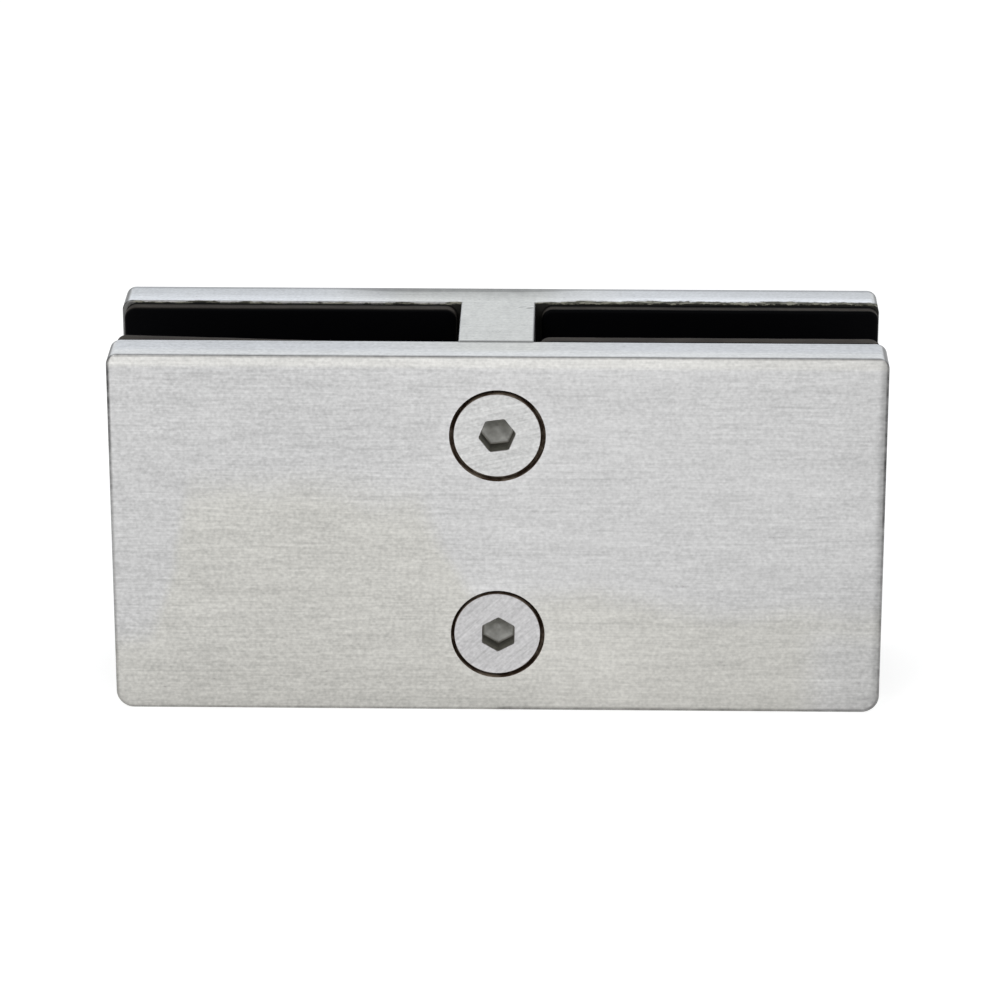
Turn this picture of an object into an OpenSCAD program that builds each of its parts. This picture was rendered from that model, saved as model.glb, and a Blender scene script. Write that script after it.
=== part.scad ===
// Glass panel clamp, straight (180 degree) pane-to-pane pattern.
// Units: millimetres. +X to the right, -Y out of the screwed front plate, +Z up.
// Origin: centre of the footprint, on the ground plane.

/* [Plates] */

// Width of both plates, along X
plate_width = 100; // [80:1:140]

// Height of both plates, along Z
plate_height = 49; // [40:0.5:60]

// Thickness of the screwed front plate
front_thickness = 6; // [4:0.1:10]

// Thickness of the rear plate
rear_thickness = 6; // [4:0.1:10]

// Free distance between the two plates, set by the rib
plate_gap = 16; // [12:0.1:24]

// Radius of the plates' two top corners
top_corner_radius = 1.4; // [0.8:0.1:6]

// Radius of the plates' two bottom corners
bottom_corner_radius = 2.3; // [0.8:0.1:6]

// Radius of the softened edges of the plates
edge_radius = 0.2; // [0.1:0.05:0.6]

/* [Rib] */

// Width of the central rib that joins the rear plate to the front plate
rib_width = 9.8; // [9:0.1:16]

// Distance of the rib's middle to the left of the screws
rib_left = 0.25; // [0:0.05:0.4]

// Radius of the rib's four long softened edges
rib_edge_radius = 0.3; // [0.1:0.05:0.6]

/* [Gaskets] */

// Length of the two rubber gaskets on the right, along X
gasket_length = 44.3; // [30:0.1:60]

// Length of the rear left gasket
rear_left_length = 43.9; // [30:0.1:60]

// Length of the front left gasket
front_left_length = 43.8; // [30:0.1:60]

// Height of each rubber gasket, along Z
gasket_height = 48; // [36:0.1:60]

// Thickness of each rubber gasket
gasket_thickness = 2.2; // [1:0.1:3]

// Radius of the gaskets' four corners
gasket_corner = 1.2; // [0.8:0.1:4]

// Radius of the gaskets' softened edges
gasket_edge = 0.3; // [0.1:0.05:0.4]

// Distance from the middle of the clamp to the rear left gasket
rear_left_offset = 5.7; // [5:0.1:8]

// Distance from the middle of the clamp to the rear right gasket
rear_right_offset = 5.5; // [5:0.1:8]

// Distance from the middle of the clamp to the front left gasket
front_left_offset = 5.8; // [5:0.1:8]

// Distance from the middle of the clamp to the front right gasket
front_right_offset = 5.2; // [5:0.1:8]

// Height of the rear gaskets' middle above the plates' middle
rear_gasket_rise = 0.2; // [-0.5:0.05:0.5]

// Height of the front right gasket's middle above the plates' middle
front_right_rise = 0.5; // [-0.5:0.05:0.5]

// Height of the front left gasket's middle above the plates' middle
front_left_rise = 0.25; // [-0.5:0.05:0.5]

// Angle by which the front left gasket is laid off level, in degrees
front_left_lean = 0.6; // [0:0.1:1.2]

/* [Screws] */

// Distance between the two screws, along Z
screw_spacing = 27.5; // [20:0.5:36]

// Thread outside diameter of the screws
screw_diameter = 6; // [5:1:7]

// Diameter of the countersunk screw heads
head_diameter = 11.25; // [10.5:0.05:11.3]

// Height of the straight rim around each screw head
head_rim = 1.545; // [1:0.005:2]

// Distance of the screw heads below the front face
head_sink = 0.1; // [0:0.05:0.2]

// Length of each screw, head included
screw_length = 20; // [16:1:25]

// Width across flats of the hex sockets
socket_width = 4.1; // [3:0.1:6]

// Depth of the hex sockets' flat walls
socket_depth = 3.1; // [2:0.1:4]

// Angle at which the upper hex socket stopped, in degrees
upper_socket_turn = 7.5; // [0:0.5:59.5]

// Angle at which the lower hex socket stopped, in degrees
lower_socket_turn = 29; // [0:0.5:59.5]

/* [Screw holes] */

// Diameter of the upper countersink's straight mouth
upper_mouth_diameter = 12.45; // [12.45:0.05:16]

// Diameter of the lower countersink's straight mouth
lower_mouth_diameter = 12.25; // [12.25:0.05:16]

// Distance by which the upper mouth was cut to the right of its screw
upper_mouth_right = 0.04; // [0:0.01:0.1]

// Distance by which the lower mouth was cut to the right of its screw
lower_mouth_right = 0.07; // [0:0.01:0.1]

// Distance by which the lower mouth was cut below its screw
lower_mouth_drop = 0.02; // [0:0.01:0.1]

// Depth of the countersinks' straight mouth
mouth_depth = 1.4; // [1.4:0.1:2]

// Gap between each screw shank and the hole in the front plate, on the radius
plate_clearance = 0.06; // [0.01:0.01:0.1]

// Gap between each screw shank and the hole in the rib, on the radius
rib_clearance = 0.04; // [0.01:0.01:0.1]

// Depth of the screw holes in the rib, measured from the rib's front face
rib_hole_depth = 16; // [14:0.5:18]

/* [Drawing] */

// Sub-part to draw

/* [Hidden] */

depth = front_thickness + plate_gap + rear_thickness;
front_face = -depth / 2;
front_back = front_face + front_thickness;
rear_front = front_back + plate_gap;
rear_face = depth / 2;
middle = plate_height / 2;
upper_z = middle + screw_spacing / 2;
lower_z = middle - screw_spacing / 2;
shank_radius = screw_diameter / 2;
head_radius = head_diameter / 2;
seat_radius = head_radius + head_sink + head_rim - mouth_depth + 0.03;
plate_hole = shank_radius + plate_clearance;
rib_hole = shank_radius + rib_clearance;
tip_chamfer = 0.7;
rim_chamfer = 0.15;
over = 1;

// ---- helpers -------------------------------------------------------------

// Rectangle w by t with its corners rounded to r, centred on X, from y = 0 up
module soft_rect(w, t, r) {
    translate([-w / 2 + r, 0]) square([w - 2 * r, t]);
    translate([-w / 2, r]) square([w, t - 2 * r]);
    for (x = [-w / 2 + r, w / 2 - r], y = [r, t - r])
        translate([x, y]) circle(r = r, $fn = 48);
}

// Half section of a disc of radius rc and thickness t with edges rounded to r
module soft_half(rc, t, r) {
    square([rc - r, t]);
    translate([0, r]) square([rc, t - 2 * r]);
    for (y = [r, t - r])
        translate([rc - r, y]) circle(r = r, $fn = 48);
}

// Slab w by h by t, upper corners rounded to ru, lower corners to rl and
// every edge to r, centred on X and Y, from z = 0 up
module soft_slab(w, h, t, ru, rl, r) {
    translate([0, (rl - ru) / 2, 0])
        rotate([90, 0, 0])
            linear_extrude(height = h - ru - rl, center = true)
                soft_rect(w, t, r);
    soft_end(w, h, t, ru, r);
    mirror([0, 1, 0]) soft_end(w, h, t, rl, r);
}

// Upper part of such a slab, with its two corners rounded to rc
module soft_end(w, h, t, rc, r) {
    tall = h * 0.6;
    translate([0, (h - tall) / 2, 0])
        rotate([90, 0, 90])
            linear_extrude(height = w - 2 * rc, center = true)
                soft_rect(tall, t, r);
    for (x = [-w / 2 + rc, w / 2 - rc])
        translate([x, h / 2 - rc, 0])
            rotate_extrude($fn = 64) soft_half(rc, t, r);
}

// Stands a slab upright: its thickness runs from y = y0 towards +Y
module upright(x, y0, z, t) {
    translate([x, y0 + t, z]) rotate([90, 0, 0]) children();
}

// Points a turned piece, drawn along +Z, towards +Y from y = y0
module along_y(y0, z) {
    translate([0, y0, z]) rotate([-90, 0, 0]) children();
}

// ---- sub-parts -----------------------------------------------------------

// Blind screw hole in the rib, with a lead-in and a drill point
module rib_screw_hole(z) {
    along_y(front_back, z) {
        translate([0, 0, -over]) cylinder(r = rib_hole, h = rib_hole_depth + over, $fn = 64);
        translate([0, 0, rib_hole_depth])
            cylinder(r1 = rib_hole, r2 = 0, h = rib_hole * 0.6, $fn = 64);
        translate([0, 0, -0.001])
            cylinder(r1 = rib_hole + 0.45, r2 = rib_hole, h = 0.45, $fn = 64);
    }
}

// Rear plate and central rib, one solid casting
module rear_body() {
    color([0.80, 0.80, 0.79])
    difference() {
        union() {
            upright(0, rear_front, middle, rear_thickness)
                soft_slab(plate_width, plate_height, rear_thickness,
                          top_corner_radius, bottom_corner_radius, edge_radius);
            translate([-rib_left, rear_front + rear_thickness / 2, 0])
                rotate([90, 0, 0])
                    linear_extrude(height = plate_gap + rear_thickness / 2)
                        soft_rect(rib_width, plate_height, rib_edge_radius);
        }
        rib_screw_hole(upper_z);
        rib_screw_hole(lower_z);
    }
}

// Countersunk hole through the front plate; its mouth, of radius rm, may lie
// a little to the right of the screw or below it
module countersink(z, rm, right, drop) {
    along_y(front_face, z) {
        translate([right, drop, -over]) cylinder(r = rm, h = mouth_depth + over, $fn = 96);
        translate([0, 0, mouth_depth])
            cylinder(r1 = seat_radius, r2 = plate_hole, h = seat_radius - plate_hole, $fn = 96);
        cylinder(r = plate_hole, h = front_thickness + over, $fn = 96);
    }
}

// Loose front plate with its two countersunk holes
module front_plate() {
    color([0.82, 0.82, 0.80])
    difference() {
        upright(0, front_face, middle, front_thickness)
            soft_slab(plate_width, plate_height, front_thickness,
                      top_corner_radius, bottom_corner_radius, edge_radius);
        countersink(upper_z, upper_mouth_diameter / 2, upper_mouth_right, 0);
        countersink(lower_z, lower_mouth_diameter / 2, lower_mouth_right, lower_mouth_drop);
    }
}

// Countersunk screw with a hex socket, drawn from its head face along +Z
module countersunk_screw(turn) {
    cone = head_radius - shank_radius;
    difference() {
        union() {
            cylinder(r1 = head_radius - rim_chamfer, r2 = head_radius, h = rim_chamfer, $fn = 96);
            translate([0, 0, rim_chamfer])
                cylinder(r = head_radius, h = head_rim - rim_chamfer, $fn = 96);
            translate([0, 0, head_rim])
                cylinder(r1 = head_radius, r2 = shank_radius, h = cone, $fn = 96);
            translate([0, 0, head_rim + cone])
                cylinder(r = shank_radius, h = screw_length - head_rim - cone - tip_chamfer, $fn = 96);
            translate([0, 0, screw_length - tip_chamfer])
                cylinder(r1 = shank_radius, r2 = shank_radius - tip_chamfer, h = tip_chamfer, $fn = 96);
        }
        rotate([0, 0, turn]) {
            translate([0, 0, -over])
                cylinder(r = socket_width / 2 / cos(30), h = socket_depth + over, $fn = 6);
        }
        translate([0, 0, socket_depth - 0.001])
            cylinder(r1 = socket_width / 2 - 0.05, r2 = 0, h = 0.8, $fn = 48);
    }
}

// Upper screw
module upper_screw() {
    color([0.83, 0.83, 0.83])
    along_y(front_face + head_sink, upper_z) countersunk_screw(-upper_socket_turn);
}

// Lower screw
module lower_screw() {
    color([0.83, 0.83, 0.83])
    along_y(front_face + head_sink, lower_z) countersunk_screw(-lower_socket_turn);
}

// Rubber gasket centred at x, from the face at y0 towards +Y
module gasket(x, y0, length, rise, lean) {
    color([0.05, 0.05, 0.055])
    translate([x, y0 + gasket_thickness, middle + rise])
        rotate([0, lean, 0]) rotate([90, 0, 0])
            soft_slab(length, gasket_height, gasket_thickness,
                      gasket_corner, gasket_corner, gasket_edge);
}

module front_left_gasket() {
    gasket(-front_left_offset - front_left_length / 2, front_back, front_left_length,
           front_left_rise, front_left_lean);
}

module front_right_gasket() {
    gasket(front_right_offset + gasket_length / 2, front_back, gasket_length,
           front_right_rise, 0);
}

module rear_left_gasket() {
    gasket(-rear_left_offset - rear_left_length / 2, rear_front - gasket_thickness,
           rear_left_length, rear_gasket_rise, 0);
}

module rear_right_gasket() {
    gasket(rear_right_offset + gasket_length / 2, rear_front - gasket_thickness,
           gasket_length, rear_gasket_rise, 0);
}

// ---- drawing -------------------------------------------------------------

rear_body();
front_plate();
upper_screw();
lower_screw();
front_left_gasket();
front_right_gasket();
rear_left_gasket();
rear_right_gasket();
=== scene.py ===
import math

import bmesh
import bpy
from mathutils import Matrix, Vector


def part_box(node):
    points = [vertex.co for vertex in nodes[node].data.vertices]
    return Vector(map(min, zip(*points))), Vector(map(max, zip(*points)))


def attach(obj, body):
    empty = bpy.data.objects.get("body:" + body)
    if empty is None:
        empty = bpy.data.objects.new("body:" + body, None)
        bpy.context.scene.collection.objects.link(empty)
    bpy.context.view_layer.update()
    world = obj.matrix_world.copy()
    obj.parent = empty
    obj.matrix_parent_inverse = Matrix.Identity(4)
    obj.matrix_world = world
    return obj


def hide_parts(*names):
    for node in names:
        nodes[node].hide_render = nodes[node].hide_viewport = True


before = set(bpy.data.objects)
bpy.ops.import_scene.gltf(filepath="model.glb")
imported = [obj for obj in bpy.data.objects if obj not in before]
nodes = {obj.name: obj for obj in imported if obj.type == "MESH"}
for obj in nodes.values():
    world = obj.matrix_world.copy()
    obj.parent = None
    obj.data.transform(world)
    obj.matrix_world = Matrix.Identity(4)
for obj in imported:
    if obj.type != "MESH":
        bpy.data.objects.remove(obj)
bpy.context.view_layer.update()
scene = bpy.context.scene

MM = 0.001
box = {n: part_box(n) for n in nodes}

front_y = box["front_plate"][0].y                       # outer face of the front plate
front_back_y = box["front_plate"][1].y                  # its inner face, which meets the rib
rear_y = box["rear_body"][1].y                          # outer face of the rear plate
half_w = box["front_plate"][1].x
height = box["front_plate"][1].z
screw_z = {n: (box[n][0].z + box[n][1].z) / 2 for n in ("upper_screw", "lower_screw")}
head_y = box["upper_screw"][0].y
tip_y = box["upper_screw"][1].y
head_r = (box["upper_screw"][1].x - box["upper_screw"][0].x) / 2


# ---------------------------------------------------------------- node helpers
class Tree:
    """Small helper for building node trees."""

    def __init__(self, tree):
        self.t = tree
        tree.nodes.clear()

    def new(self, kind, **values):
        n = self.t.nodes.new(kind)
        for k, v in values.items():
            setattr(n, k, v)
        return n

    def link(self, a, b):
        self.t.links.new(a, b)

    def put(self, socket, value):
        if isinstance(value, bpy.types.NodeSocket):
            self.link(value, socket)
        else:
            socket.default_value = value

    def math(self, op, a, b=None, c=None, clamp=False):
        n = self.new("ShaderNodeMath", operation=op, use_clamp=clamp)
        for i, v in enumerate((a, b, c)):
            if v is not None:
                self.put(n.inputs[i], v)
        return n.outputs[0]

    def mix(self, factor, a, b, kind="RGBA", blend="MIX"):
        n = self.new("ShaderNodeMix", data_type=kind)
        if kind == "RGBA":
            n.blend_type = blend
            ia, ib, out = 6, 7, 2
        else:
            ia, ib, out = 2, 3, 0
        self.put(n.inputs[0], factor)
        self.put(n.inputs[ia], a)
        self.put(n.inputs[ib], b)
        return n.outputs[out]

    def ramp(self, value, *stops, ease="LINEAR"):
        n = self.new("ShaderNodeValToRGB")
        n.color_ramp.interpolation = ease
        e = n.color_ramp.elements
        e[0].position, e[1].position = stops[0][0], stops[-1][0]
        e[0].color = grey(stops[0][1])
        e[1].color = grey(stops[-1][1])
        for p, v in stops[1:-1]:
            e.new(p).color = grey(v)
        self.put(n.inputs[0], value)
        return n.outputs[0]

    def span(self, value, lo, hi, to_lo=0.0, to_hi=1.0, smooth=True):
        n = self.new("ShaderNodeMapRange", interpolation_type="SMOOTHSTEP" if smooth else "LINEAR")
        self.put(n.inputs[0], value)
        for socket, v in zip(list(n.inputs)[1:5], (lo, hi, to_lo, to_hi)):
            self.put(socket, v)
        return n.outputs[0]

    def noise(self, vector, scale=1.0, detail=2.0, rough=0.5, distortion=0.0):
        n = self.new("ShaderNodeTexNoise")
        self.put(n.inputs["Vector"], vector)
        n.inputs["Scale"].default_value = scale
        n.inputs["Detail"].default_value = detail
        n.inputs["Roughness"].default_value = rough
        n.inputs["Distortion"].default_value = distortion
        return n.outputs[0]

    def mapped(self, vector, scale=(1, 1, 1), rotation=(0, 0, 0), location=(0, 0, 0)):
        n = self.new("ShaderNodeMapping")
        self.put(n.inputs["Vector"], vector)
        n.inputs["Location"].default_value = location
        n.inputs["Rotation"].default_value = rotation
        n.inputs["Scale"].default_value = scale
        return n.outputs[0]


def grey(v):
    return (v, v, v, 1.0) if isinstance(v, (int, float)) else tuple(v) + ((1.0,) if len(v) == 3 else ())


def new_material(name):
    m = bpy.data.materials.new(name)
    m.use_nodes = True
    t = Tree(m.node_tree)
    out = t.new("ShaderNodeOutputMaterial")
    bsdf = t.new("ShaderNodeBsdfPrincipled")
    t.link(bsdf.outputs[0], out.inputs[0])
    return m, t, bsdf


# ---------------------------------------------------------------- brushed steel
GAP_SHADE = (0.070, 0.045, 0.030, 1.0)                      # painted shade in the countersink gaps round the screw heads
GAP_SHADE_PALE = (0.250, 0.205, 0.160, 1.0)


def surface_inputs(t):
    """Object coordinates in metres, the same in mm split by axis, and the object-space normal."""
    tex = t.new("ShaderNodeTexCoord")
    coords = tex.outputs["Object"]
    split = t.new("ShaderNodeSeparateXYZ")
    t.link(t.mapped(coords, scale=(1000, 1000, 1000)), split.inputs[0])
    normal = t.new("ShaderNodeSeparateXYZ")
    t.link(tex.outputs["Normal"], normal.inputs[0])
    return coords, tuple(split.outputs), tuple(normal.outputs)


def radius_from(t, x, z, cx, cz):
    dx, dz = t.math("SUBTRACT", x, cx), t.math("SUBTRACT", z, cz)
    return t.math("SQRT", t.math("ADD", t.math("MULTIPLY", dx, dx), t.math("MULTIPLY", dz, dz)))


def grain(t, coords, angle=0.0, seed=0.0):
    """Brushed finish: blotches, hair lines and long bands, each about 0.5 on average."""
    turned = t.mapped(coords, rotation=(0, math.radians(angle), 0), location=(seed, seed * 0.7, seed * 1.3))
    blotch = t.noise(t.mapped(turned, scale=(2300, 2600, 2600)), detail=1, rough=0.45)
    streak = t.noise(t.mapped(turned, scale=(150, 2700, 2700), location=(3.1, 1.7, 9.2)), detail=2, rough=0.5)
    hair = t.noise(t.mapped(turned, scale=(700, 5200, 5200), location=(5.1, 2.7, 3.2)), detail=1, rough=0.5)
    band = t.noise(t.mapped(turned, scale=(26, 520, 520), location=(1.3, 4.4, 2.2)), detail=3, rough=0.6)
    cloud = t.noise(t.mapped(turned, scale=(45, 80, 80), location=(7.3, 2.4, 5.2)), detail=3, rough=0.55)
    deep = t.span(t.noise(t.mapped(turned, scale=(85, 2300, 2300), location=(11.0, 6.0, 2.0)), detail=0), 0.70, 0.80)
    return blotch, streak, hair, band, cloud, deep


def summed(t, *pairs):
    """Weighted sum of (value, weight) pairs, each value counted from its 0.5 middle."""
    total = None
    for v, w in pairs:
        part = t.math("MULTIPLY", t.math("SUBTRACT", v, 0.5), w)
        total = part if total is None else t.math("ADD", total, part)
    return total


def scaled(t, colour, value):
    shade = t.new("ShaderNodeCombineColor")
    for i in range(3):
        t.put(shade.inputs[i], value)
    return t.mix(1.0, colour, shade.outputs[0], blend="MULTIPLY")


def inverse(t, v):
    return t.math("SUBTRACT", 1.0, v)


def times(t, first, *others):
    for o in others:
        first = t.math("MULTIPLY", first, o)
    return first


def inset(t, absx, z):
    """Distance in mm from a plate's side and bottom outline, round its lower corners."""
    return round_corner(t, absx, t.math("SUBTRACT", height * 1000, z), 2.3)


def round_corner(t, absx, z, rc):
    """Distance in mm from a side and from the top, round a corner of radius rc."""
    qx = t.math("SUBTRACT", absx, half_w * 1000 - rc)
    qz = t.math("SUBTRACT", z, height * 1000 - rc)
    mx, mz = t.math("MAXIMUM", qx, 0.0), t.math("MAXIMUM", qz, 0.0)
    length = t.math("SQRT", t.math("ADD", t.math("MULTIPLY", mx, mx), t.math("MULTIPLY", mz, mz)))
    inner = t.math("MINIMUM", t.math("MAXIMUM", qx, qz), 0.0)
    return t.math("SUBTRACT", rc, t.math("ADD", length, inner))


def plate_steel(name, tint, seed, front):
    m, t, bsdf = new_material(name)
    coords, (x, y, z), (nx, ny, nz) = surface_inputs(t)
    blotch, streak, hair, band, cloud, deep = grain(t, coords, seed=seed)
    top = height * 1000
    half = half_w * 1000
    face = (front_y if front else rear_y) * 1000
    inner = (front_back_y if front else box["rear_left_gasket"][1].y) * 1000
    absx = t.math("ABSOLUTE", x)
    absy = t.math("ABSOLUTE", ny)
    absn = t.math("ABSOLUTE", nx)
    ribx = t.math("ABSOLUTE", t.math("ADD", x, 0.25))          # from the middle of the rib
    on_face = t.span(absy, 0.9, 0.97)
    on_top = t.span(nz, 0.9, 0.97)

    lines = summed(t, (blotch, 0.46), (streak, 0.38), (hair, 0.18), (band, 0.20))
    depth = t.math("ADD", t.span(x, -8.0, 12.0, 1.12, 0.99), t.span(z, 20.0, 10.0, 0.0, 0.06))
    value = t.math("ADD", 1.0, t.math("MULTIPLY", lines, depth))
    value = t.math("ADD", value, summed(t, (cloud, 0.15)))
    # painted light: brighter across the middle of the plate, darker towards both ends
    value = t.math("ADD", value, t.span(t.math("ABSOLUTE", t.math("SUBTRACT", x, 11.0)), 42.0, 4.0, -0.022, 0.026))
    value = t.math("SUBTRACT", value, t.math("MULTIPLY", deep, 0.05))

    # slightly warmer low down, most on the left, and along the top edge
    patch = t.noise(t.mapped(coords, scale=(26, 46, 40), location=(2.0 + seed, 8.0, 4.0)), detail=3)
    left = times(t, t.span(x, -46.0, -39.0), t.span(x, -1.0, -11.0))
    reach = t.math("ADD", t.math("MULTIPLY", left, 17.0), summed(t, (patch, 26.0)))
    warm = t.span(t.math("ADD", t.math("SUBTRACT", 13.0, z), reach), -3.5, 3.5)
    warm = times(t, warm, inverse(t, times(t, t.span(x, 38.0, 44.0), t.span(z, 14.0, 8.0), 0.8)))
    # band just under the top edge that carries a painted highlight
    top_highlight = times(t, t.span(z, top - 1.95, top - 1.15), on_face)
    warm = t.math("MAXIMUM", warm, t.math("MULTIPLY", top_highlight, 0.6))
    colour = t.mix(warm, grey(tuple(c * k for c, k in zip(tint, (1.003, 1.0, 1.002)))),
                   grey(tuple(c * k for c, k in zip(tint, (1.013, 1.0, 0.949)))))
    # painted reflection: top faces tinted warmer next to the rib and cooler further out
    from_rib = absx if front else t.math("ABSOLUTE", t.math("ADD", x, 3.5))
    lo, mid = (4.0, 9.0) if front else (8.0, 13.0)
    cool = t.mix(t.span(from_rib, mid, mid + 10.0), grey(tuple(c * k for c, k in zip(tint, (1.002, 1.0, 1.000)))),
                 grey(tuple(c * k for c, k in zip(tint, (0.990, 1.0, 1.030)))))
    cool = t.mix(t.span(from_rib, lo, mid), grey(tuple(c * k for c, k in zip(tint, (1.005, 1.0, 0.962)))), cool)
    if front:
        cool = t.mix(t.span(y, face + 3.2, face + 1.2), cool, grey(tuple(c * k for c, k in zip(tint, (1.0, 1.0, 0.996)))))
    colour = t.mix(on_top, colour, cool)

    # painted shade: darker towards the bottom, where the face reflects the shadowed floor; a painted highlight runs
    # just under the top edge
    low = t.ramp(t.math("DIVIDE", z, top), (0.0, 0.82), (0.03, 0.865), (0.07, 0.905), (0.20, 0.932),
                 (0.36, 0.965), (0.62, 0.996), (1.0, 1.0))
    value = times(t, value, low)
    value = t.math("ADD", value, times(t, top_highlight, t.span(x, 20.0, 38.0, 0.205, 0.09)))
    if front:
        # painted highlights low near the middle and towards the left edge; painted shade low on the right
        glow = times(t, t.span(radius_from(t, x, z, 11.0, 5.0), 11.0, 3.0), 0.06)
        value = t.math("ADD", value, t.math("ADD", glow, t.span(x, -39.0, -45.0, 0.0, 0.025)))
        value = t.math("SUBTRACT", value, times(t, t.span(x, 42.0, 47.0), t.span(z, 24.0, 12.0, 0.020, 0.050)))

    # top faces: painted highlight next to the front edge, painted shade along the back edge
    if front:
        strip_highlight = t.math("ADD", t.span(y, face + 3.4, face + 0.8, 0.0, 0.17), t.span(y, face + 4.0, face + 5.5, 0.0, -0.03))
    else:
        strip_highlight = t.math("ADD", 0.12, t.span(x, -11.0, -20.0, 0.0, 0.16))
        strip_highlight = t.math("ADD", strip_highlight, t.span(x, 6.0, 22.0, 0.0, 0.36))
        strip_highlight = times(t, strip_highlight, t.span(y, inner + 3.2, inner + 0.7), t.math("GREATER_THAN", ribx, 4.9))
        behind = t.math("SUBTRACT", face, y)
        centre = t.span(t.math("ABSOLUTE", t.math("ADD", x, 5.5)), 17.5, 8.0)
        width = t.math("ADD", 0.62, t.math("MULTIPLY", centre, 0.80))
        line = t.span(t.math("SUBTRACT", behind, width), 0.45, 0.0, 0.0, t.math("ADD", 0.36, t.math("MULTIPLY", centre, 0.08)))
        above = t.span(nz, 0.3, 0.8)
        value = times(t, value, inverse(t, times(t, line, above)), inverse(t, times(t, t.span(behind, 0.4, 2.6, 0.07, 0.0), above)))
        value = times(t, value, inverse(t, times(t, centre, t.span(behind, 5.8, 1.6, 0.02, 0.295), above)))
    value = t.math("ADD", value, t.math("MULTIPLY", strip_highlight, on_top))
    mottle = t.noise(t.mapped(coords, scale=(1000, 520, 520), location=(5.0 + seed, 4.0, 1.0)), detail=2)
    mottled = times(t, t.math("SUBTRACT", mottle, 0.5), on_top, 0.12 if front else t.span(absx, 6.0, 4.0, 0.16, 0.30))
    value = t.math("ADD", value, mottled)

    # rounded edges: darker, unevenly so, most at the sides and below; painted shade standing in for dark reflections
    uneven = t.span(t.noise(t.mapped(coords, scale=(700, 900, 900), location=(4, seed, 1)), detail=2), 0.3, 0.7, 0.82, 1.12)
    away = inset(t, absx, z)
    right = t.math("GREATER_THAN", x, 0.0)
    if front:
        at_face = t.span(y, face + 0.42, face + 0.30)
        upper_away = t.math("ADD", round_corner(t, absx, z, 1.4), t.span(absx, half - 0.25, half - 1.5, 0.0, 0.9))
        upper_away = t.math("ADD", upper_away, t.math("MULTIPLY", right, 0.16))
        away = t.math("MINIMUM", away, upper_away)
        hold = t.mix(right, t.span(z, 23.0, 46.0, 0.36, 0.78), t.span(z, 20.0, 30.0, 0.50, 0.76), kind="FLOAT")
        outline = times(t, t.span(away, t.math("ADD", 0.52, t.math("MULTIPLY", right, 0.16)), 0.18), at_face, hold)
        lip = times(t, t.span(x, half - 1.40, half - 0.40), at_face, t.span(z, 18.0, 28.0, 0.26, 0.40))
        foot = times(t, t.span(away, 0.60, 0.30), at_face, t.span(x, 34.0, 43.0), t.span(z, 3.5, 1.5), 0.50)
        shoulder = times(t, t.span(z, top - 0.36, top - 0.24), on_face, at_face)
        ledge = times(t, t.span(y, face + 0.62, face + 0.34), on_top)
        thin = t.math("MAXIMUM", times(t, t.span(absy, 0.993, 0.93), at_face, 0.30),
                      times(t, t.math("MAXIMUM", shoulder, ledge), t.span(x, -8.0, 10.0, 0.285, 0.245)))
        edge = t.math("MAXIMUM", t.math("MAXIMUM", outline, lip), t.math("MAXIMUM", thin, foot))
    else:
        edge = times(t, t.span(away, 0.42, 0.12), t.span(y, face - 0.42, face - 0.30), 0.40)
    edge = t.math("MULTIPLY", edge, uneven)
    # rounded upper corners: a darker turn of painted shade, wider on one side of each plate
    turns = ((0.48, 0.74, 0.76), (0.40, 0.62, 0.64)) if front else ((0.30, 0.62, 0.74), (0.50, 0.80, 0.68))
    corner = t.mix(right, *[t.span(absn, a, b, 0.0, c) for a, b, c in turns], kind="FLOAT")
    to_back = t.math("SUBTRACT", inner if front else face, y)
    corner = t.math("MAXIMUM", corner, times(t, t.span(absn, 0.22, 0.45), t.span(to_back, 0.85, 0.45), 0.50))
    corner = times(t, t.span(z, top - 1.55, top - 0.95), t.math("GREATER_THAN", absx, half - 2.0), corner)
    edge = t.math("MAXIMUM", edge, corner)
    value = times(t, value, inverse(t, edge))

    rough = t.math("ADD", 0.335, summed(t, (blotch, 0.10), (streak, 0.14), (hair, 0.08)))
    rough = t.math("ADD", rough, summed(t, (cloud, 0.08)))
    rough = t.math("ADD", rough, t.math("MULTIPLY", edge, 0.15))

    if front:
        upper = radius_from(t, x, z, 0.04, screw_z["upper_screw"] * 1000)
        lower = radius_from(t, x, z, 0.07, screw_z["lower_screw"] * 1000 - 0.02)
        nearest = t.math("MINIMUM", upper, lower)
        # painted highlight round the screw mouths
        halo = times(t, t.span(nearest, 8.4, 6.4), on_face, 0.055)
        value = t.math("ADD", value, halo)
        # painted shade in the countersink gaps round the screw heads
        dark_fill = times(t, t.math("LESS_THAN", nearest, 6.30), t.math("GREATER_THAN", y, face + 0.03))
        dark_fill_colour = t.mix(t.span(patch_fine(t, coords), 0.40, 0.66), GAP_SHADE, GAP_SHADE_PALE)
        # painted shade line along the seam where the plate meets the rib
        seam_shade = times(t, t.span(y, inner - 0.52, inner - 0.34), t.math("LESS_THAN", ribx, 4.85), t.span(nz, 0.3, 0.8))
        value = times(t, value, inverse(t, t.math("MULTIPLY", seam_shade, 0.62)))
    else:
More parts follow.
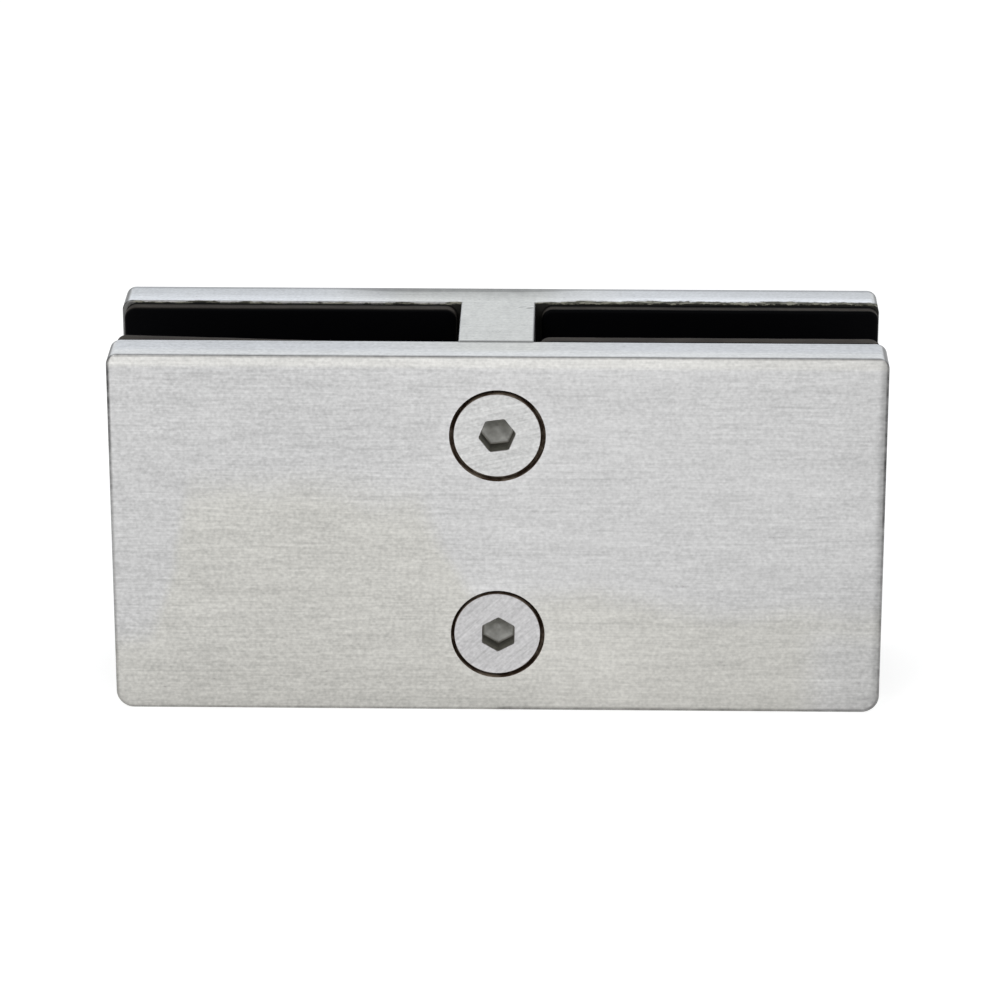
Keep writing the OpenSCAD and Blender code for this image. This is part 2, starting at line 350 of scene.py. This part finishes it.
        # rubber cement and painted contact shade on the edge that meets the gaskets, smeared further up on the right
        ragged = t.noise(t.mapped(coords, scale=(1100, 1500, 1500), location=(3, 6, 2)), detail=3, rough=0.6)
        drop = t.math("MULTIPLY", t.math("SUBTRACT", top, z), t.math("ADD", 1.0, right))
        over = t.math("SUBTRACT", t.math("SUBTRACT", y, inner), drop)
        runs = t.noise(t.mapped(coords, scale=(230, 300, 300), location=(1, 9, 5)), detail=2)
        limit = t.math("ADD", t.span(x, 2.0, 12.0, -0.08, 0.88),
                       t.math("MULTIPLY", t.math("SUBTRACT", ragged, 0.5), t.span(x, 2.0, 20.0, 0.8, 1.5)))
        limit = t.math("ADD", limit, t.math("MULTIPLY", t.math("SUBTRACT", runs, 0.5), 1.3))
        below = t.math("SUBTRACT", limit, over)
        front_side = times(t, t.math("LESS_THAN", y, inner + 0.20), t.span(absn, 0.75, 0.45))
        place = t.math("MAXIMUM", front_side, t.math("GREATER_THAN", nz, t.span(x, 40.0, 42.0, 0.55, 0.12)))
        cement_and_shade = times(t, t.span(below, -0.06, 0.10), place, t.span(ribx, 4.82, 4.92))
        # painted shade on the bare steel at the left end of that edge, where no cement lies
        bare = t.span(t.math("SUBTRACT", t.math("MULTIPLY", t.math("SUBTRACT", ragged, 0.5), 1.2), x), 48.2, 48.8)
        dark_fill = times(t, cement_and_shade, inverse(t, t.math("MULTIPLY", bare, 0.9)), 0.97)
        value = times(t, value, inverse(t, times(t, bare, t.math("LESS_THAN", y, inner + 0.20), 0.66)))
        thick = t.math("SUBTRACT", below, t.math("MULTIPLY", t.span(ragged, 0.40, 0.62), t.span(x, 2.0, 12.0, 0.25, 0.70)))
        thick = t.math("SUBTRACT", thick, t.span(x, 2.0, 12.0, 0.0, 0.45))
        streaky = t.noise(t.mapped(coords, scale=(620, 2300, 2300), location=(5, 3, 8)), detail=3, rough=0.6)
        olive = t.mix(t.span(streaky, 0.43, 0.60), (0.066, 0.064, 0.048, 1.0), (0.300, 0.294, 0.240, 1.0))
        dark_fill_colour = t.mix(t.span(thick, 0.35, 0.05), (0.0075, 0.0072, 0.0050, 1.0), olive)
        # a darker fringe round the cement band
        band_fringe = times(t, t.span(t.math("ADD", below, summed(t, (runs, 0.5))), -0.62, -0.02), place, t.span(ribx, 4.82, 4.92),
                      t.span(x, 2.0, 12.0, 0.10, 0.34))
        value = times(t, value, inverse(t, band_fringe))
        # painted shade line along the seam where the rib meets the front plate
        seam_y = front_back_y * 1000
        seam_shade = times(t, t.span(y, seam_y + 0.52, seam_y + 0.34), t.math("LESS_THAN", ribx, 5.0), t.span(nz, 0.5, 0.9))
        value = times(t, value, inverse(t, t.math("MULTIPLY", seam_shade, 0.62)))
        # nicks left on the rib's top; the one with a negative amount is a painted glint
        for nick_at, size, amount in (((3.95, 5.75), (0.45, 0.20), 0.62), ((3.00, 6.10), (0.55, 0.13), 0.48),
                                      ((4.15, 6.25), (0.35, 0.22), -0.22)):
            u = t.math("DIVIDE", t.math("SUBTRACT", x, nick_at[0]), size[0])
            bow = t.math("ADD", nick_at[1], t.math("MULTIPLY", u, 0.12))
            v = t.math("DIVIDE", t.math("SUBTRACT", y, bow), size[1])
            nick = t.math("ADD", t.math("MULTIPLY", u, u), t.math("MULTIPLY", v, v))
            nick = times(t, t.span(t.math("ADD", nick, summed(t, (ragged, 2.2))), 1.25, 0.5), t.math("GREATER_THAN", nz, 0.5))
            value = times(t, value, inverse(t, t.math("MULTIPLY", nick, amount)))
        # rib walls and the rib's right edge: painted shade, darker than the outer faces
        rib_wall_shade = times(t, t.math("LESS_THAN", ribx, 4.96), t.span(absn, 0.5, 0.9), t.math("LESS_THAN", y, inner))
        rib_edge_shade = times(t, t.span(nx, 0.12, 0.50), t.math("LESS_THAN", ribx, 4.96), t.math("LESS_THAN", y, inner), 0.62)
        value = times(t, value, inverse(t, t.math("MAXIMUM", t.math("MULTIPLY", rib_wall_shade, 0.45), rib_edge_shade)))

    colour = scaled(t, colour, value)
    colour = t.mix(dark_fill, colour, dark_fill_colour)
    rough = t.mix(dark_fill, rough, 0.75, kind="FLOAT")
    metal = inverse(t, dark_fill)

    bump = t.new("ShaderNodeBump")
    bump.inputs["Strength"].default_value = 0.30
    bump.inputs["Distance"].default_value = 0.00002
    t.link(t.math("ADD", 0.5, summed(t, (blotch, 0.46), (streak, 0.46))), bump.inputs["Height"])
    t.link(colour, bsdf.inputs["Base Color"])
    t.link(metal, bsdf.inputs["Metallic"])
    t.link(rough, bsdf.inputs["Roughness"])
    bsdf.inputs["Specular IOR Level"].default_value = 0.12
    t.link(bump.outputs[0], bsdf.inputs["Normal"])
    return m


def patch_fine(t, coords):
    """Uneven patches of about a millimetre in the painted gap shade round the screws."""
    return t.noise(t.mapped(coords, scale=(420, 420, 420), location=(6, 2, 9)), detail=3, rough=0.6)


def across_flats(t, x, z, cx, cz, turn_deg):
    """Largest distance in mm from a hexagon's centre, measured square to its flats."""
    dx, dz = t.math("SUBTRACT", x, cx), t.math("SUBTRACT", z, cz)
    far = None
    for i in range(3):
        a = math.radians(turn_deg + 30 + 60 * i)
        d = t.math("ADD", t.math("MULTIPLY", dx, math.cos(a)), t.math("MULTIPLY", dz, math.sin(a)))
        d = t.math("ABSOLUTE", d)
        far = d if far is None else t.math("MAXIMUM", far, d)
    return far


def screw_steel(name, tint, angle, seed, zc, turn_deg, socket_x=0.0, socket_z=0.0):
    m, t, bsdf = new_material(name)
    coords, (x, y, z), (nx, ny, nz) = surface_inputs(t)
    blotch, streak, hair, band, cloud, deep = grain(t, coords, angle=angle, seed=seed)
    lines = summed(t, (blotch, 0.50), (streak, 0.46), (hair, 0.24), (band, 0.34))
    value = t.math("ADD", 1.0, lines)
    scuff = t.noise(t.mapped(coords, rotation=(0, math.radians(angle), 0), scale=(900, 1500, 1500), location=(seed, 2, 7)),
                    detail=3, rough=0.6, distortion=0.6)
    value = t.math("ADD", value, summed(t, (cloud, 0.20), (scuff, 0.34)))
    value = t.math("SUBTRACT", value, t.math("MULTIPLY", deep, 0.10))
    face = head_y * 1000
    r = radius_from(t, x, z, 0.0, zc * 1000)
    on_face = t.span(ny, -0.9, -0.97)
    # painted highlight in a ring near the head's rim
    value = t.math("ADD", value, times(t, t.span(r, 4.95, 5.40), on_face, 0.055))

    rough = t.math("ADD", 0.345, summed(t, (blotch, 0.08), (streak, 0.16), (hair, 0.10), (cloud, 0.08)))

    # rim and cone of the head: painted shade of the countersink gap
    rim = times(t, t.span(r, 5.50, 5.58), t.span(y, face + 0.03, face + 0.10))
    cone = times(t, t.math("GREATER_THAN", r, 3.2), t.math("GREATER_THAN", y, face + 1.4))
    dark_fill = t.math("MAXIMUM", rim, cone)
    # socket: painted shade, darker than the head and darkest down its walls, at the ledge round its floor and at its
    # centre; also duller than the head
    s = radius_from(t, x, z, socket_x, zc * 1000 + socket_z)
    sock = times(t, t.math("LESS_THAN", s, 2.62), t.span(y, face + 0.05, face + 0.14))
    sock = t.math("MULTIPLY", sock, t.math("LESS_THAN", y, face + 4.2))
    pit = t.span(y, face + 2.62, face + 2.80)
    flats = across_flats(t, x, z, socket_x, zc * 1000 + socket_z, turn_deg)
    ledge = times(t, t.span(flats, 1.74, 1.94), t.math("GREATER_THAN", y, face + 2.66))
    foot = t.span(y, face + 0.6, face + 2.6, 1.0, 0.60)
    mottled = t.math("ADD", 1.0, summed(t, (blotch, 0.5), (cloud, 0.5)))
    walls = scaled(t, (0.340, 0.330, 0.296, 1.0), t.math("MULTIPLY", mottled, foot))
    floor_ = scaled(t, (0.365, 0.365, 0.348, 1.0), t.math("MULTIPLY", mottled, t.span(s, 0.0, 0.5, 0.80, 1.0)))
    socket = t.mix(pit, walls, floor_)
    socket = t.mix(t.math("MULTIPLY", ledge, 0.75), socket, (0.150, 0.142, 0.125, 1.0))

    colour = scaled(t, grey(tint), value)
    colour = t.mix(sock, colour, socket)
    gap_shade_colour = t.mix(t.span(patch_fine(t, coords), 0.40, 0.66), GAP_SHADE, GAP_SHADE_PALE)
    colour = t.mix(dark_fill, colour, gap_shade_colour)
    rough = t.mix(sock, rough, 0.50, kind="FLOAT")
    rough = t.mix(dark_fill, rough, 0.75, kind="FLOAT")
    bump = t.new("ShaderNodeBump")
    bump.inputs["Strength"].default_value = 0.35
    bump.inputs["Distance"].default_value = 0.00002
    t.link(t.math("ADD", 0.5, lines), bump.inputs["Height"])
    t.link(colour, bsdf.inputs["Base Color"])
    t.link(inverse(t, dark_fill), bsdf.inputs["Metallic"])
    bsdf.inputs["Specular IOR Level"].default_value = 0.12
    t.link(rough, bsdf.inputs["Roughness"])
    t.link(bump.outputs[0], bsdf.inputs["Normal"])
    return m


def black_rubber(name):
    m, t, bsdf = new_material(name)
    coords, (x, y, z), (nx, ny, nz) = surface_inputs(t)
    free = abs(box["rear_left_gasket"][0].y) * 1000            # the gaskets' free faces lie at +-free
    back = abs(box["rear_left_gasket"][1].y) * 1000
    grainy = t.noise(t.mapped(coords, scale=(4200, 4200, 4200)), detail=3, rough=0.6)
    smear = t.noise(t.mapped(coords, scale=(120, 300, 90), location=(3, 1, 2)), detail=3, rough=0.6)
    far = t.math("ABSOLUTE", y)
    # smooth moulded face, paler cut edges, dark glue line
    # moulded faces black, painted darker than the rubber itself as shade in the slot; paler cut edges, partly their
    # own colour and partly painted sheen; darker along the back next to the plate
    rear = t.math("GREATER_THAN", y, 0.0)
    shade = t.mix(rear, t.span(far, back - 0.08, back - 0.26), t.span(far, back - 0.40, back - 1.10), kind="FLOAT")
    inset_cut = times(t, rear, t.math("GREATER_THAN", x, 0.0), 0.22)
    cut = t.math("MULTIPLY", t.span(t.math("SUBTRACT", far, inset_cut), free + 0.05, free + 0.42), shade)
    black = t.mix(smear, (0.0007, 0.0007, 0.0011, 1.0), (0.0016, 0.0016, 0.0022, 1.0))
    pale = t.mix(t.span(smear, 0.3, 0.7), (0.048, 0.043, 0.039, 1.0), (0.070, 0.063, 0.057, 1.0))
    pale = scaled(t, pale, t.math("ADD", 1.0, summed(t, (grainy, 0.8))))
    base = t.mix(cut, black, pale)
    t.link(base, bsdf.inputs["Base Color"])
    r = t.math("ADD", 0.50, t.math("MULTIPLY", smear, 0.14))
    t.link(t.math("ADD", r, t.math("MULTIPLY", cut, 0.12)), bsdf.inputs["Roughness"])
    bsdf.inputs["Specular IOR Level"].default_value = 0.03
    bump = t.new("ShaderNodeBump")
    bump.inputs["Strength"].default_value = 0.30
    bump.inputs["Distance"].default_value = 0.00004
    t.link(grainy, bump.inputs["Height"])
    t.link(bump.outputs[0], bsdf.inputs["Normal"])
    return m


# ---------------------------------------------------------------- mesh helpers
def finish_mesh(name, bm, material, sharp_deg=28.0):
    bmesh.ops.remove_doubles(bm, verts=bm.verts, dist=1e-8)
    bmesh.ops.recalc_face_normals(bm, faces=bm.faces)
    limit = math.radians(sharp_deg)
    for f in bm.faces:
        f.smooth = True
    for e in bm.edges:
        if len(e.link_faces) == 2 and e.calc_face_angle(0.0) > limit:
            e.smooth = False
    me = bpy.data.meshes.new(name)
    bm.to_mesh(me)
    bm.free()
    me.materials.append(material)
    o = bpy.data.objects.new(name, me)
    scene.collection.objects.link(o)
    return o


def loft(bm, rings, close_ends=True):
    """Joins rings of equal vertex counts; the first and last are closed with a face."""
    made = [[bm.verts.new(p) for p in ring] for ring in rings]
    n = len(made[0])
    for a, b in zip(made, made[1:]):
        for i in range(n):
            j = (i + 1) % n
            bm.faces.new((a[i], a[j], b[j], b[i]))
    if close_ends:
        bm.faces.new(list(reversed(made[0])))
        bm.faces.new(made[-1])
    return made


# ---------------------------------------------------------------- screws
def thread_radius(phase, major, depth):
    """ISO-like flank: flat crest, straight flanks, rounded root."""
    p = phase % 1.0
    d = abs(p - 0.5) * 2.0          # 0 at the root, 1 at the crest
    if d > 0.875:
        return major
    k = d / 0.875
    k = max(0.0, k - 0.12) / 0.88
    return major - depth * (1.0 - k)


def screw(name, node, turn_deg, material, socket_x=0.0, socket_z=0.0):
    n = 96
    zc = screw_z[node]
    major = 2.985 * MM
    pitch = 1.0 * MM
    depth = 0.60 * MM
    y0 = head_y
    length = tip_y - head_y
    af = 4.1 * MM / 2
    turn = math.radians(turn_deg)

    def circle(r, y, sx=0.0, sz=0.0):
        return [Vector((sx + r * math.cos(a), y0 + y, zc + sz + r * math.sin(a))) for a in angles]

    def hexagon(grow, y):
        out = []
        for a in angles:
            k = ((a - turn) % (math.pi / 3)) - math.pi / 6
            r = (af + grow) / math.cos(k)
            limit = 2.315 * MM + grow
            if r > limit:
                r = limit + (r - limit) * 0.25
            out.append(Vector((ox + r * math.cos(a), y0 + y, zc + oz + r * math.sin(a))))
        return out

    ox, oz = socket_x * MM, socket_z * MM

    angles = [turn + 2 * math.pi * i / n for i in range(n)]
    rings = []
    # socket, from the drill point outwards
    rings.append(circle(0.05 * MM, 3.76 * MM, ox, oz))
    rings.append(circle(0.95 * MM, 3.30 * MM, ox, oz))
    rings.append(circle(1.55 * MM, 2.98 * MM, ox, oz))
    rings.append(hexagon(-0.24 * MM, 2.82 * MM))
    rings.append(hexagon(-0.02 * MM, 2.76 * MM))
    rings.append(hexagon(0.0, 2.70 * MM))
    rings.append(hexagon(0.0, 0.17 * MM))
    rings.append(hexagon(0.035 * MM, 0.06 * MM))
    rings.append(hexagon(0.10 * MM, 0.0))
    # head
    rings.append(circle(3.4 * MM, 0.0))
    rings.append(circle(4.5 * MM, 0.0))
    rings.append(circle(head_r - 0.15 * MM, 0.0))
    rings.append(circle(head_r - 0.05 * MM, 0.035 * MM))
    rings.append(circle(head_r, 0.13 * MM))
    rings.append(circle(head_r, 1.545 * MM))
    rings.append(circle(head_r - 2.55 * MM, 1.545 * MM + 2.55 * MM))
    neck = 1.545 * MM + (head_r - 3.0 * MM)
    rings.append(circle(2.70 * MM, neck + 0.25 * MM))
    rings.append(circle(2.62 * MM, neck + 0.55 * MM))
    # threaded shank
    start, end = neck + 0.75 * MM, length - 0.02 * MM
    steps = int((end - start) / (pitch / 20))
    for i in range(steps + 1):
        y = start + (end - start) * i / steps
        run_in = min(1.0, (y - start) / (1.2 * pitch))
        run_out = (end - y) / (0.75 * MM)
        ring = []
        for a in angles:
            # right-hand helix about +Y
            theta = math.pi / 2 - a
            r = thread_radius((y / pitch) - theta / (2 * math.pi), major, depth * run_in)
            r = min(r, major - (1 - run_in) * 0.36 * MM)
            if run_out < 1.0:
                r = min(r, major - (1.0 - run_out) * 0.72 * MM)
            ring.append(Vector((r * math.cos(a), y0 + y, zc + r * math.sin(a))))
        rings.append(ring)
    rings.append(circle(1.2 * MM, length))
    bm = bmesh.new()
    loft(bm, rings)
    o = finish_mesh(name, bm, material, sharp_deg=32)
    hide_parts(node)
    return o


# ---------------------------------------------------------------- gaskets
def gasket(name, node, lean_deg, inner_dir, outer_radius, seed, material):
    """Cut rubber sheet: rounded corners, softened edges, slightly uneven outline.

    inner_dir is the side along X on which the rib stands.
    """
    lo, hi = box[node]
    lean = math.radians(lean_deg)
    centre = (lo + hi) / 2
    w, h = (43.8 * MM, 48.0 * MM) if lean else (hi.x - lo.x, hi.z - lo.z)
    t = hi.y - lo.y
    outward = -1.0 if centre.y > 0 else 1.0            # the free face looks into the slot
    outer, inner = outer_radius * MM, 1.45 * MM
    right_top, left_top = (inner, outer) if inner_dir > 0 else (outer, inner)
    bottom = 1.3 * MM
    radii = (right_top, left_top, bottom, bottom)
    signs = ((1, 1, 0), (-1, 1, 90), (-1, -1, 180), (1, -1, 270))
    outline = []                                        # anticlockwise: x, z, nx, nz, corner radius
    for k, ((sx, sz, a0), rc) in enumerate(zip(signs, radii)):
        cx, cz = sx * (w / 2 - rc), sz * (h / 2 - rc)
        for i in range(13):
            a = math.radians(a0 + 90 * i / 12)
            outline.append((cx + rc * math.cos(a), cz + rc * math.sin(a), math.cos(a), math.sin(a)))
        nsx, nsz, _ = signs[(k + 1) % 4]
        rn = radii[(k + 1) % 4]
        a = math.radians(a0 + 90)
        ex, ez = cx + rc * math.cos(a), cz + rc * math.sin(a)
        fx = nsx * (w / 2 - rn) + rn * math.cos(a)
        fz = nsz * (h / 2 - rn) + rn * math.sin(a)
        for i in range(1, 60):
            s = i / 60
            outline.append((ex + (fx - ex) * s, ez + (fz - ez) * s, math.cos(a), math.sin(a)))
    rb, rf = 0.12 * MM, (0.28 if lean else 0.42) * MM
    section = []
    for i in range(5):
        a = math.radians(90 * i / 4)
        section.append((-rb + rb * math.sin(a), rb - rb * math.cos(a)))
    for i in range(8):
        a = math.radians(90 * i / 7)
        section.append((-rf + rf * math.cos(a), t - rf + rf * math.sin(a)))

    def wave(x, z):
        return (0.5 * math.sin(310 * x + seed) * math.cos(270 * z + 2.1 * seed)
                + 0.3 * math.sin(830 * x + 1.7 * seed + 400 * z) + 0.2 * math.sin(1900 * (x + z) + seed))

    def placed(x, z, y):
        if lean:                                        # its upper edge was cut out of square
            z -= 0.0136 * (x + w / 2) * (z / h + 0.5)
        return Vector((centre.x + x * math.cos(lean) + z * math.sin(lean), y,
                       centre.z - x * math.sin(lean) + z * math.cos(lean)))

    back_y = lo.y if outward > 0 else hi.y
    rings = []
    for off, depth in section:
        ring = []
        for x, z, nx, nz in outline:
            r = off - max(0.0, 0.010 * MM + 0.022 * MM * wave(x, z))
            ring.append(placed(x + nx * r, z + nz * r, back_y + outward * depth))
        rings.append(ring)
    bm = bmesh.new()
    made = loft(bm, rings, close_ends=False)
    bm.faces.new(made[0])
    middle = [bm.verts.new(placed(x - nx * 0.9 * MM, z - nz * 0.9 * MM, back_y + outward * t)) for x, z, nx, nz in outline]
    n = len(middle)
    for i in range(n):
        j = (i + 1) % n
        bm.faces.new((made[-1][i], made[-1][j], middle[j], middle[i]))
    bm.faces.new(middle)
    o = finish_mesh(name, bm, material, sharp_deg=40)
    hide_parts(node)
    return o


# ---------------------------------------------------------------- object
steel_front = plate_steel("steel_front", (0.544, 0.544, 0.544), 0.0, front=True)
steel_rear = plate_steel("steel_rear", (0.542, 0.544, 0.545), 0.37, front=False)
steel_upper = screw_steel("steel_screw_upper", (0.566, 0.566, 0.562), 13, 0.9, screw_z["upper_screw"], 7.5)
steel_lower = screw_steel("steel_screw_lower", (0.505, 0.500, 0.506), 42, 1.6, screw_z["lower_screw"], 29.0, 0.14, -0.12)
rubber = black_rubber("rubber_black")

for name, material in (("front_plate", steel_front), ("rear_body", steel_rear)):
    o = nodes[name]
    o.data.materials.clear()
    o.data.materials.append(material)

upper = screw("upper_screw_threaded", "upper_screw", 7.5, steel_upper)
lower = screw("lower_screw_threaded", "lower_screw", 29.0, steel_lower, 0.14, -0.12)
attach(upper, "upper_screw_body")
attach(lower, "lower_screw_body")

for node, lean, side, radius, seed, body in (
    ("front_left_gasket", 0.6, 1, 1.30, 0.3, "front_assembly"),
    ("front_right_gasket", 0.0, -1, 1.80, 1.9, "front_assembly"),
    ("rear_left_gasket", 0.0, 1, 1.60, 3.1, "rear_assembly"),
    ("rear_right_gasket", 0.0, -1, 1.35, 4.7, "rear_assembly"),
):
    g = gasket(node + "_rubber", node, lean, side, radius, seed, rubber)
    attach(g, body)


# ---------------------------------------------------------------- stage
def floor():
    bm = bmesh.new()
    r = 6.0
    n = 64
    ring = [bm.verts.new((r * math.cos(2 * math.pi * i / n), r * math.sin(2 * math.pi * i / n), 0)) for i in range(n)]
    bm.faces.new(ring)
    me = bpy.data.meshes.new("floor")
    bm.to_mesh(me)
    bm.free()
    o = bpy.data.objects.new("floor", me)
    o.location.z = -0.00002
    scene.collection.objects.link(o)
    m = bpy.data.materials.new("floor_white")
    m.use_nodes = True
    t = Tree(m.node_tree)
    out = t.new("ShaderNodeOutputMaterial")
    diffuse = t.new("ShaderNodeBsdfDiffuse")
    diffuse.inputs[0].default_value = (0.50, 0.50, 0.50, 1)
    glow = t.new("ShaderNodeEmission")
    glow.inputs[0].default_value = (1.0, 1.0, 0.998, 1)
    glow.inputs[1].default_value = 0.72
    add = t.new("ShaderNodeAddShader")
    t.link(diffuse.outputs[0], add.inputs[0])
    t.link(glow.outputs[0], add.inputs[1])
    t.link(add.outputs[0], out.inputs[0])
    me.materials.append(m)
    return o


floor()

world = bpy.data.worlds.new("studio")
scene.world = world
world.use_nodes = True
t = Tree(world.node_tree)
out = t.new("ShaderNodeOutputWorld")
bg = t.new("ShaderNodeBackground")
t.link(bg.outputs[0], out.inputs[0])
coord = t.new("ShaderNodeTexCoord").outputs["Generated"]
split = t.new("ShaderNodeSeparateXYZ")
t.link(coord, split.inputs[0])
dx, dy, dz = split.outputs[0], split.outputs[1], split.outputs[2]
back = t.span(dy, -0.2, 0.9, 0.78, 1.12)                       # brighter wall behind
over = t.span(dz, 0.62, 0.98, 1.0, 0.45)                       # darker overhead
side = t.span(t.math("ABSOLUTE", dx), 0.55, 0.95, 1.0, 0.42)   # darker at the sides
level = t.math("MULTIPLY", t.math("MULTIPLY", back, over), side)
cool = t.span(dy, -0.5, 0.8)
tone = t.mix(cool, (1.0, 0.995, 0.985, 1), (0.958, 0.988, 1.015, 1))
t.link(tone, bg.inputs[0])
t.link(level, bg.inputs[1])


def area(name, where, size, watts, colour=(1, 1, 1), at=(0, 0, 0.025)):
    d = bpy.data.lights.new(name, "AREA")
    d.shape = "RECTANGLE"
    d.size, d.size_y = size
    d.energy = watts
    d.color = colour
    o = bpy.data.objects.new(name, d)
    o.location = where
    o.rotation_mode = "QUATERNION"
    o.rotation_quaternion = (Vector(at) - Vector(where)).to_track_quat("-Z", "Y")
    scene.collection.objects.link(o)
    return o


area("key", (-0.55, -0.75, 0.85), (0.6, 0.5), 3.0)
area("fill", (0.75, -0.55, 0.55), (0.5, 0.5), 1.6)

# ---------------------------------------------------------------- camera
cam = bpy.data.objects.new("camera", bpy.data.cameras.new("camera"))
cam.data.sensor_width = 36
cam.data.lens = 4435.8 * 36 / 1000
pitch, yaw, roll = math.radians(20.883), math.radians(-1.0797), math.radians(-0.007)
forward = Vector((math.sin(yaw) * math.cos(pitch), math.cos(yaw) * math.cos(pitch), -math.sin(pitch)))
right = Vector((math.cos(yaw), -math.sin(yaw), 0))
up = right.cross(forward)
right, up = right * math.cos(roll) + up * math.sin(roll), up * math.cos(roll) - right * math.sin(roll)
cam.matrix_world = Matrix((
    (right.x, up.x, -forward.x, 10.44 * MM),
    (right.y, up.y, -forward.y, front_y - 534.32 * MM),
    (right.z, up.z, -forward.z, 233.37 * MM),
    (0, 0, 0, 1),
))
cam.data.clip_start, cam.data.clip_end = 0.01, 50
scene.collection.objects.link(cam)
scene.camera = cam

scene.view_settings.view_transform = "Standard"
scene.view_settings.look = "None"
